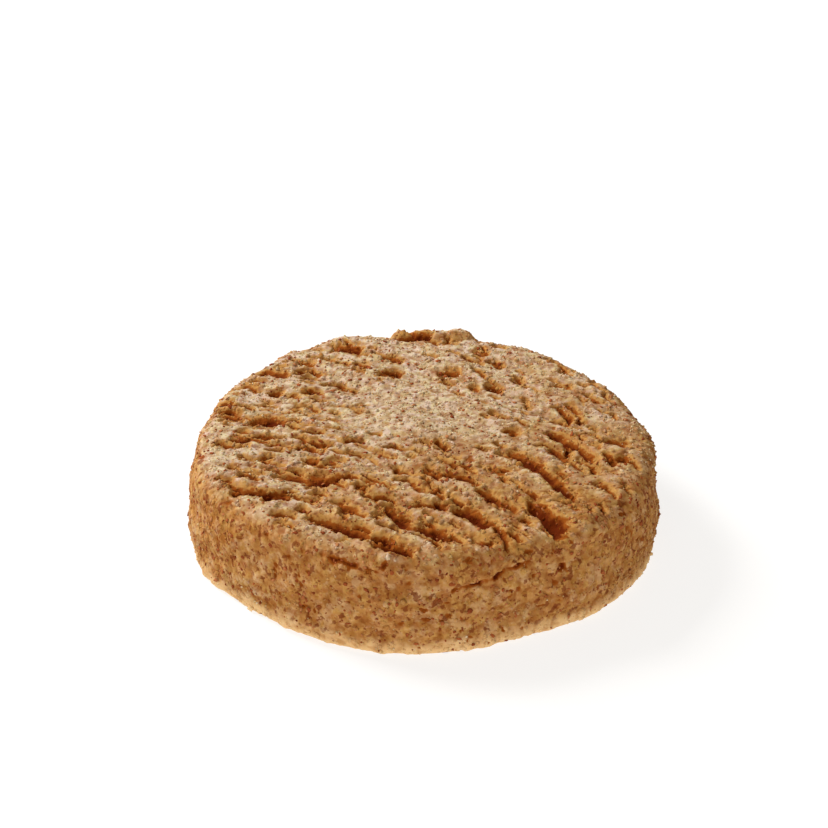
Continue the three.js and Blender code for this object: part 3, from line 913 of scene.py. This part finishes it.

# %% [markdown]
# ## Colour of the baked meal
#
# Milled millet and bran are many small grains, each of its own colour. An image could be painted on, but
# here the colour comes from cells: a Voronoi pattern gives each cell a random number, and a ramp turns it
# into flour, crumb or bran at any closeness. The attributes then take it from dusty tan on the top to a
# browner side, and to gold and red-brown inside the tears, where the moist dough browned without its flour.
# Part of
# it is painted light and shade: the darkest brown at the bottoms of tears, cracks and pocks, brown in dips
# and between grains, a gold glow on steep walls, pale lips, a pale foot and a side darker to the right.

# %% Material helpers
class Recipe:
    """A material under construction, with short ways to add and join its nodes."""

    def __init__(self, name):
        self.material = bpy.data.materials.new(name)
        self.material.use_nodes = True
        self.nodes = self.material.node_tree.nodes
        self.links = self.material.node_tree.links
        self.shader = self.nodes["Principled BSDF"]

    def add(self, kind, settings=None, **inputs):
        """A node of a kind, with its settings and with numbers or other nodes' outputs on its inputs."""
        node = self.nodes.new(kind)
        for key, value in (settings or {}).items():
            setattr(node, key, value)
        for key, value in inputs.items():
            self.put(node.inputs[key.replace("_", " ")], value)
        return node

    def put(self, socket, value):
        """A number or colour is set on the socket, and an output is linked to it."""
        if isinstance(value, bpy.types.NodeSocket):
            self.links.new(value, socket)
        else:
            socket.default_value = value

    def attribute(self, name):
        """The value of one of the mesh's attributes."""
        return self.add("ShaderNodeAttribute", {"attribute_name": name}).outputs["Fac"]

    def sum(self, operation, *values, clamp=False):
        """One arithmetic step."""
        node = self.add("ShaderNodeMath", {"operation": operation, "use_clamp": clamp})
        for socket, value in zip(node.inputs, values):
            self.put(socket, value)
        return node.outputs[0]

    def line(self, value, gain, base=0.0):
        """A value times a gain, plus a base."""
        scaled = self.sum("MULTIPLY", value, gain)
        return self.sum("ADD", scaled, base) if base else scaled

    def span(self, value, low, high):
        """0 at the low value, 1 at the high one, which may be the smaller, and a smooth step between."""
        node = self.add("ShaderNodeMapRange", {"interpolation_type": "SMOOTHSTEP"})
        for key, number in (("Value", value), ("From Min", low), ("From Max", high)):
            self.put(node.inputs[key], number)
        return node.outputs["Result"]

    def ramp(self, value, stops):
        """A colour for each value, from (place, colour) stops."""
        node = self.add("ShaderNodeValToRGB", Fac=value)
        while len(node.color_ramp.elements) < len(stops):
            node.color_ramp.elements.new(0.5)
        for element, (place, colour) in zip(node.color_ramp.elements, stops):
            element.position = place
            element.color = (*colour, 1)
        return node.outputs["Color"]

    def blend(self, share, below, above, kind="MIX"):
        """A mix of two colours."""
        node = self.add("ShaderNodeMix", {"data_type": "RGBA", "blend_type": kind})
        self.put(node.inputs[0], share)
        self.put(node.inputs[6], below if isinstance(below, bpy.types.NodeSocket) else (*below, 1))
        self.put(node.inputs[7], above if isinstance(above, bpy.types.NodeSocket) else (*above, 1))
        return node.outputs[2]

    def noise(self, place, scale, detail=3.0, roughness=0.55):
        """Soft fractal noise from 0 to 1."""
        node = self.add("ShaderNodeTexNoise", Vector=place, Scale=scale, Detail=detail, Roughness=roughness)
        return node.outputs["Fac"]

    def cells(self, place, scale, output="Color"):
        """A random number for each cell of a Voronoi pattern, or the distance to the cell's middle."""
        node = self.add("ShaderNodeTexVoronoi", Vector=place, Scale=scale)
        if output == "Distance":
            return node.outputs["Distance"]
        return self.add("ShaderNodeSeparateColor", Color=node.outputs["Color"]).outputs[0]

    def finish(self, roughness, gloss, glow_through, reach, scale):
        """The numbers that are the same all over: roughness, gloss, and how light goes through."""
        for key, value in (
            ("Roughness", roughness), ("Specular IOR Level", gloss), ("Subsurface Weight", glow_through),
            ("Subsurface Radius", reach), ("Subsurface Scale", scale),
        ):
            self.shader.inputs[key].default_value = value

    def bump(self, height, strength, depth):
        """Relief that is too fine for the mesh."""
        node = self.add("ShaderNodeBump", Strength=strength, Distance=depth, Height=height)
        self.put(self.shader.inputs["Normal"], node.outputs[0])


# %% Ground colour of the skin
DUSTY = (0.63, 0.51, 0.385)
DUSTY_DARK = (0.47, 0.29, 0.155)
DUSTY_LIGHT = (0.72, 0.61, 0.47)
BARE = (0.49, 0.275, 0.103)
BARE_DARK = (0.28, 0.10, 0.016)
BARE_LIGHT = (0.64, 0.45, 0.24)
# Painted glow of light through the dough, for the steep walls.
PAINTED_WALL_GLOW = (0.56, 0.315, 0.105)
SIDE_BROWN = (0.48, 0.245, 0.082)
SIDE_DARK = (0.34, 0.135, 0.032)
SIDE_LIGHT = (0.59, 0.355, 0.155)
TINGES = [(0.0, (1.0, 0.97, 1.05)), (1.0, (1.0, 1.04, 0.84))]
TONES = [(0.0, (0.80, 0.72, 0.60)), (0.5, (1.0, 1.0, 1.0)), (1.0, (1.08, 1.08, 1.10))]
MEAL_SCALE = 2300.0  # cells in a metre


def ground_colour(r, place, shifted, meal, undusted_and_unlit):
    """Dusty or bare meal by its flour and the light and shade painted with it, a painted glow of gold on
    steep walls, and brown on the side. Then each cell of a few grains gets its own tinge, and each clump its
    own tone."""
    dusty = r.ramp(meal, [(0.0, DUSTY_DARK), (0.2, DUSTY), (0.78, DUSTY), (1.0, DUSTY_LIGHT)])
    bare = r.ramp(meal, [(0.0, BARE_DARK), (0.24, BARE), (0.78, BARE), (1.0, BARE_LIGHT)])
    side = r.ramp(meal, [(0.0, SIDE_DARK), (0.2, SIDE_BROWN), (0.8, SIDE_BROWN), (1.0, SIDE_LIGHT)])
    # Paler where flour lies and where light is painted, browner where shade is painted.
    colour = r.blend(r.attribute("dust_and_painted_light"), bare, dusty)
    # Painted glow: steep walls are lightened towards gold, for light that shines through the dough.
    colour = r.blend(r.line(r.attribute("steep"), 0.35), colour, PAINTED_WALL_GLOW)
    side_share = r.sum("MULTIPLY", r.span(r.attribute("side"), 0.5, 0.95), undusted_and_unlit)
    colour = r.blend(side_share, colour, side)
    colour = r.blend(1.0, colour, r.ramp(r.cells(shifted, 1200.0), TINGES), "MULTIPLY")
    clumps = r.span(r.noise(place, 800.0, 2.0, 0.5), 0.36, 0.64)
    return r.blend(1.0, colour, r.ramp(clumps, TONES), "MULTIPLY")


# %% Spots, stains and flecks
SPOT = (0.29, 0.085, 0.024)
SMEAR = (0.66, 0.45, 0.26)
# Brown of the stains, and also painted shade in the dips.
STAIN_AND_DIP_SHADE = (0.32, 0.105, 0.018)
FLECK = (0.18, 0.036, 0.008)
FOOT_TABLE_GLOW = (0.88, 0.59, 0.29)


def stained(r, colour, place, shifted, clots, undusted_and_unlit):
    """Brown spots in single cells, pale smears and brown stains where a coarse noise is low and high, painted
    shade in the dips of the relief and of the bump, red-brown flecks of bran, and over them a pale foot,
    painted light from the glowing table below."""
    side = r.attribute("side")
    spots = r.span(r.cells(shifted, 1500.0), 0.14, 0.06)
    colour = r.blend(r.line(spots, 0.5), colour, SPOT)
    patches = r.noise(place, 620.0)
    smears = r.sum("MULTIPLY", r.span(patches, 0.47, 0.36), r.line(side, 0.35))
    colour = r.blend(smears, colour, SMEAR)
    stains = r.sum("MULTIPLY", r.span(patches, 0.50, 0.64), r.line(side, 0.08, 0.35))
    colour = r.blend(stains, colour, STAIN_AND_DIP_SHADE)
    # Painted shade: the dips of the relief and the low places of the bump are browned.
    dip_shade_share = r.sum("MULTIPLY", undusted_and_unlit, r.line(side, -0.08, 0.45))
    colour = r.blend(r.sum("MULTIPLY", r.attribute("low"), dip_shade_share), colour, STAIN_AND_DIP_SHADE)
    sunk = r.sum("SUBTRACT", 1.0, r.span(clots, 0.36, 0.52))
    colour = r.blend(r.sum("MULTIPLY", sunk, dip_shade_share), colour, STAIN_AND_DIP_SHADE)
    flecks = r.span(r.noise(place, 1150.0, 2.0, 0.5), 0.405, 0.365)
    colour = r.blend(r.sum("MULTIPLY", flecks, r.line(side, 0.35, 0.4)), colour, FLECK)
    # Painted light: the foot turns pale peach, as if lit by the glowing table below.
    return r.blend(r.line(r.attribute("foot"), 0.75), colour, FOOT_TABLE_GLOW)


# %% Browning of tears, cracks and gaps
GOLD = (0.52, 0.275, 0.078)
RUST = (0.30, 0.080, 0.009)
DEEP_BROWN_AND_SHADE = (0.12, 0.016, 0.001)
PAINTED_GAP_SHADE = (0.55, 0.32, 0.12)


def browned(r, colour, meal, clots):
    """Gold, rust and deep rust as a tear deepens, made uneven by the meal, and rust in cracks and pocks; the
    darkest of it, at the bottoms, is partly painted shade. Between the grains each colour gets a painted
    shade."""
    torn, split = r.attribute("torn"), r.attribute("split")
    depth = r.sum("ADD", torn, r.line(r.sum("SUBTRACT", meal, 0.5), 0.14))
    depth = r.sum("ADD", depth, r.line(r.sum("SUBTRACT", clots, 0.5), 0.5))
    colour = r.blend(r.line(r.span(depth, 0.06, 0.18), 0.9), colour, GOLD)
    # From here on the colour deepens with depth: the dough's own browning, and towards the bottom painted
    # shade.
    colour = r.blend(r.span(depth, 0.18, 0.36), colour, RUST)
    colour = r.blend(r.span(split, 0.05, 0.16), colour, RUST)
    colour = r.blend(r.span(split, 0.13, 0.34), colour, DEEP_BROWN_AND_SHADE)
    colour = r.blend(r.span(depth, 0.34, 0.66), colour, DEEP_BROWN_AND_SHADE)
    # Painted shade: each colour is darkened between the grains and at the base of each lump.
    gap_shade_share = r.line(r.span(r.attribute("between"), 0.42, 1.0), 0.5)
    return r.blend(gap_shade_share, colour, r.blend(1.0, colour, PAINTED_GAP_SHADE, "MULTIPLY"))


# %% Skin material
WOBBLE_REACH = 0.00022  # how far noise shifts the cells, so that their edges curve
BUMP_DEPTH = 0.00015  # metres


def baked_meal():
    """The skin's material: cells of meal, tinted by where they lie, with a fine bump."""
    r = Recipe("baked_meal")
    place = r.add("ShaderNodeTexCoord").outputs["Object"]
    wobble = r.add("ShaderNodeTexNoise", Vector=place, Scale=1800.0, Detail=2.0).outputs["Color"]
    shift = {"Fac": WOBBLE_REACH, "Color1": place, "Color2": wobble}
    shifted = r.add("ShaderNodeMixRGB", {"blend_type": "LINEAR_LIGHT"}, **shift).outputs[0]
    soft = r.span(r.noise(place, 1500.0, 2.0), 0.3, 0.7)
    meal = r.sum("ADD", r.line(r.cells(shifted, MEAL_SCALE), 0.45), r.line(soft, 0.55))
    clots = r.noise(place, 1450.0, 2.0, 0.6)
    undusted_and_unlit = r.sum("SUBTRACT", 1.0, r.line(r.attribute("dust_and_painted_light"), 0.7))
    colour = ground_colour(r, place, shifted, meal, undusted_and_unlit)
    colour = stained(r, colour, place, shifted, clots, undusted_and_unlit)
    r.put(r.shader.inputs["Base Color"], browned(r, colour, meal, clots))
    r.finish(0.95, 0.05, 0.15, (1.0, 0.6, 0.4), 0.0005)
    dome = r.cells(shifted, MEAL_SCALE, "Distance")
    height = r.sum("ADD", r.line(dome, -0.4), r.line(r.noise(place, 5200.0, 2.0, 0.6), 0.08))
    height = r.sum("ADD", height, r.line(clots, 1.2))
    r.bump(height, 0.16, BUMP_DEPTH)
    return r.material


meal_material = baked_meal()
body.data.materials.append(meal_material)
print("meal material:", len(meal_material.node_tree.nodes), "nodes")

# %% [markdown]
# ## What sticks to the skin
#
# Close up, the surface is full of loose meal: pale grains, flakes of red-brown bran, darker specks and
# crumbs of dough. A particle system would scatter them, but they would not be part of the mesh. So each
# kind is one joined mesh: a little lump of 20 triangles is copied to thousands of places that are drawn on
# the skin's own triangles, stretched, turned at random, and sunk a little way in.

# %% Seats on the skin
corners = points[triangles]
crossed = np.cross(corners[:, 1] - corners[:, 0], corners[:, 2] - corners[:, 0])
triangle_area = np.linalg.norm(crossed, axis=1) / 2
triangle_normal = crossed / np.maximum(2 * triangle_area, 1e-12)[:, None]
triangle_data = {key: skin[key][triangles].mean(axis=1) for key in skin_keys}
triangle_middle = corners.mean(axis=1)
triangle_under = triangle_normal[:, 2] < -0.5
print("skin area, square mm:", triangle_area.sum().round(1))


def seats(count, liking, seed):
    """Random places on the skin, by area times liking, with their triangles and the draw to go on with."""
    draw = np.random.default_rng(seed)
    chance = triangle_area * liking * ~triangle_under
    chosen = draw.choice(len(triangles), count, p=chance / chance.sum())
    a, b = np.sqrt(draw.uniform(0, 1, count)), draw.uniform(0, 1, count)
    weights = np.stack([1 - a, a * (1 - b), a * b], axis=1)
    return (corners[chosen] * weights[:, :, None]).sum(axis=1), chosen, draw


# %% Lumps and how they are turned
NEIGHBOUR = 1.1  # corners of the ball that are closer than this, in radii, share an edge
FLAT_TILT = 0.25


def lump():
    """A ball of 12 corners, those of three golden rectangles, and a triangle for each three neighbours."""
    golden = (1 + math.sqrt(5)) / 2
    signs = [(a, b * golden) for a in (-1, 1) for b in (-1, 1)]
    ball = np.array([corner for a, b in signs for corner in ((0, a, b), (a, b, 0), (b, 0, a))], dtype=float)
    ball /= np.linalg.norm(ball, axis=1)[:, None]
    near = np.linalg.norm(ball[:, None] - ball[None], axis=2) < NEIGHBOUR
    faces = np.array([
        (i, j, k) for i in range(12) for j in range(i + 1, 12) for k in range(j + 1, 12)
        if near[i, j] and near[j, k] and near[i, k]
    ])
    first, second, third = (ball[faces[:, k]] for k in range(3))
    outward = (np.cross(second - first, third - first) * (first + second + third)).sum(axis=1)
    faces[outward < 0] = faces[outward < 0][:, ::-1]
    return ball, faces


def random_turns(count, draw):
    """Random rotation matrices, from random quaternions of length one."""
    quaternions = draw.normal(size=(4, count))
    w, x, y, z = quaternions / np.linalg.norm(quaternions, axis=0)
    rows = [
        [1 - 2 * (y * y + z * z), 2 * (x * y - z * w), 2 * (x * z + y * w)],
        [2 * (x * y + z * w), 1 - 2 * (x * x + z * z), 2 * (y * z - x * w)],
        [2 * (x * z - y * w), 2 * (y * z + x * w), 1 - 2 * (x * x + y * y)],
    ]
    return np.moveaxis(np.array(rows), -1, 0)


def lay_flat(normals, draw):
    """Rotation matrices that take the Z axis to each normal, with a random spin and a small tilt."""
    tilted = normals + draw.normal(0, FLAT_TILT, normals.shape)
    up = tilted / np.linalg.norm(tilted, axis=1)[:, None]
    side = np.cross(up, draw.normal(size=normals.shape))
    side /= np.linalg.norm(side, axis=1)[:, None]
    return np.stack([side, np.cross(up, side), up], axis=2)


# %% Scatter one kind
MORE_SMALL = 2.2  # above 1, so that there are more small lumps than large ones
ROUND_STRETCH = (0.75, 1.25)
FLAKE_STRETCH = ((0.8, 1.5), (0.6, 1.0), (0.18, 0.34))  # along, across and through a flake
FLAKE_LIFT = 0.3
DUST_SPREAD = 0.8
TORN_SHARE = 0.75  # of the depth below it that a lump takes its colour from


def scatter(name, count, liking, size, seed, sunk, stretch=ROUND_STRETCH, flat=False, uneven=0.18):
    """One mesh of many lumps: each is uneven, stretched, turned, set on its seat and sunk by a share of its
    size. Each lump keeps a random number and the amounts that the skin has at its seat."""
    seat, chosen, draw = seats(count, liking, seed)
    normal = triangle_normal[chosen]
    ball, faces = lump()
    half = (size[0] + (size[1] - size[0]) * draw.uniform(0, 1, count) ** MORE_SMALL) / 2
    shape = ball[None] * (1 + draw.normal(0, uneven, (count, len(ball), 1)))
    if flat:
        shape = shape * np.stack([draw.uniform(*limits, count) for limits in FLAKE_STRETCH], axis=1)[:, None]
        turns = lay_flat(normal, draw)
    else:
        shape = shape * draw.uniform(*stretch, (count, 1, 3))
        turns = random_turns(count, draw)
    shape = np.einsum("nij,nvj->nvi", turns, shape * half[:, None, None])
    lift = half * (1 - sunk) * (FLAKE_LIFT if flat else 1.0)
    above = (shape * normal[:, None]).sum(axis=2) + lift[:, None]
    shape += (seat + normal * lift[:, None])[:, None]
    shape[:, :, 2] = np.clip(shape[:, :, 2], 0, None)
    all_faces = (faces[None] + np.arange(count)[:, None, None] * len(ball)).reshape(-1, 3)
    amounts = {key: triangle_data[key][chosen] for key in skin_keys}
    amounts["tint"] = draw.uniform(0, 1, count)
    amounts["dust_and_painted_light"] = np.clip(amounts["dust_and_painted_light"] + DUST_SPREAD * (amounts["tint"] - 0.45), 0, 1)
    amounts["torn"] = amounts["torn"] * TORN_SHARE
    amounts = {key: np.repeat(values, len(ball)) for key, values in amounts.items()}
    # Painted shade low on each lump, where it meets the skin.
    amounts["between"] = np.clip(1 - above / (half * (2 - sunk))[:, None], 0, 1).ravel()
    piece = new_piece(name, shape.reshape(-1, 3), all_faces.tolist(), amounts)
    print(name, count, "lumps,", len(all_faces), "triangles")
    return piece


# %% Materials of the loose things
PALE_MEAL = [(0.0, (0.50, 0.30, 0.12)), (0.5, (0.60, 0.43, 0.23)), (1.0, (0.76, 0.62, 0.42))]
RED_BRAN = [(0.0, (0.20, 0.040, 0.012)), (0.45, (0.36, 0.095, 0.028)), (1.0, (0.48, 0.22, 0.09))]
DARK_BRAN = [(0.0, (0.15, 0.024, 0.008)), (0.6, (0.25, 0.050, 0.014)), (1.0, (0.36, 0.11, 0.035))]


def loose_material(name, stops, roughness, glow_through, grain_scale):
    """A colour for each lump from its own random number, mottled by fine noise, with a fine bump."""
    r = Recipe(name)
    place = r.add("ShaderNodeTexCoord").outputs["Object"]
    mottle = r.noise(place, grain_scale, 2.0, 0.6)
    shade = r.line(r.sum("SUBTRACT", mottle, 0.5), 0.5)
    number = r.sum("ADD", r.attribute("tint"), shade, clamp=True)
    r.put(r.shader.inputs["Base Color"], r.ramp(number, stops))
    r.finish(roughness, 0.03, glow_through, (1.0, 0.6, 0.35), 0.0004)
    r.bump(r.noise(place, grain_scale * 2, 3.0, 0.7), 0.5, 0.00006)
    return r.material


# %% What the kinds like
RIM_HIGHLIGHT_DRIFT = ((27.6, -1.0, 11.2), (2.0, 4.5, 1.6))  # middle and half sizes of a drift of pale flour on the right rim, a painted highlight for glinting grains
DEEP_ENOUGH = 0.4  # depth of tear, in millimetres, that counts as all inside
LOW_HEIGHT = 5.0
in_tears = np.clip(triangle_data["torn"] / DEEP_ENOUGH, 0, 1)
side_share = triangle_data["side"]
low = np.clip(1 - triangle_middle[:, 2] / LOW_HEIGHT, 0, 1)
# Flakes and specks keep off the foot, where the table's light is painted.
dusted_and_lit = triangle_data["dust_and_painted_light"]
off_foot = 1 - 0.85 * triangle_data["foot"]
in_highlight_drift = np.exp(-(np.linalg.norm((triangle_middle - RIM_HIGHLIGHT_DRIFT[0]) / RIM_HIGHLIGHT_DRIFT[1], axis=1) ** 2))
everywhere = np.ones(len(triangles))

# %% Grains, flakes, specks and crumbs
grains = scatter("meal_grains", 1800, everywhere, (0.24, 0.48), 299, sunk=1.4)
grits_liking = 1 - 0.2 * in_tears
grits = scatter("meal_grits", 7000, grits_liking, (0.42, 0.95), 303, 1.62, (0.65, 1.25), uneven=0.2)

# Pale flour heaps on the right rim as a painted highlight, where grains glint in the light.
flour_liking = dusted_and_lit * (1 - 0.8 * in_tears) * (1 - 0.8 * side_share) + 0.25 * low + 3 * in_highlight_drift
flour = scatter("pale_flour", 1500, flour_liking, (0.14, 0.34), 301, sunk=0.85)
flour.data.materials.append(loose_material("pale_meal", PALE_MEAL, 0.8, 0.2, 4000.0))

flakes_liking = (1 - 0.3 * in_tears + 0.5 * side_share) * off_foot
flakes = scatter("bran_flakes", 2700, flakes_liking, (0.24, 0.66), 307, sunk=0.6, flat=True)
flakes.data.materials.append(loose_material("red_bran", RED_BRAN, 0.7, 0.1, 3000.0))

specks = scatter("dark_specks", 500, (0.5 + dusted_and_lit) * off_foot, (0.20, 0.40), 311, 1.4, (0.7, 1.3))
specks.data.materials.append(loose_material("dark_bran", DARK_BRAN, 0.9, 0.0, 3000.0))

crumbs_liking = 0.35 + 0.15 * in_tears + 0.9 * low * side_share
crumbs = scatter("dough_crumbs", 700, crumbs_liking, (0.30, 0.80), 313, 1.25, (0.6, 1.3), uneven=0.22)
for piece in (grains, grits, crumbs):
    piece.data.materials.append(meal_material)
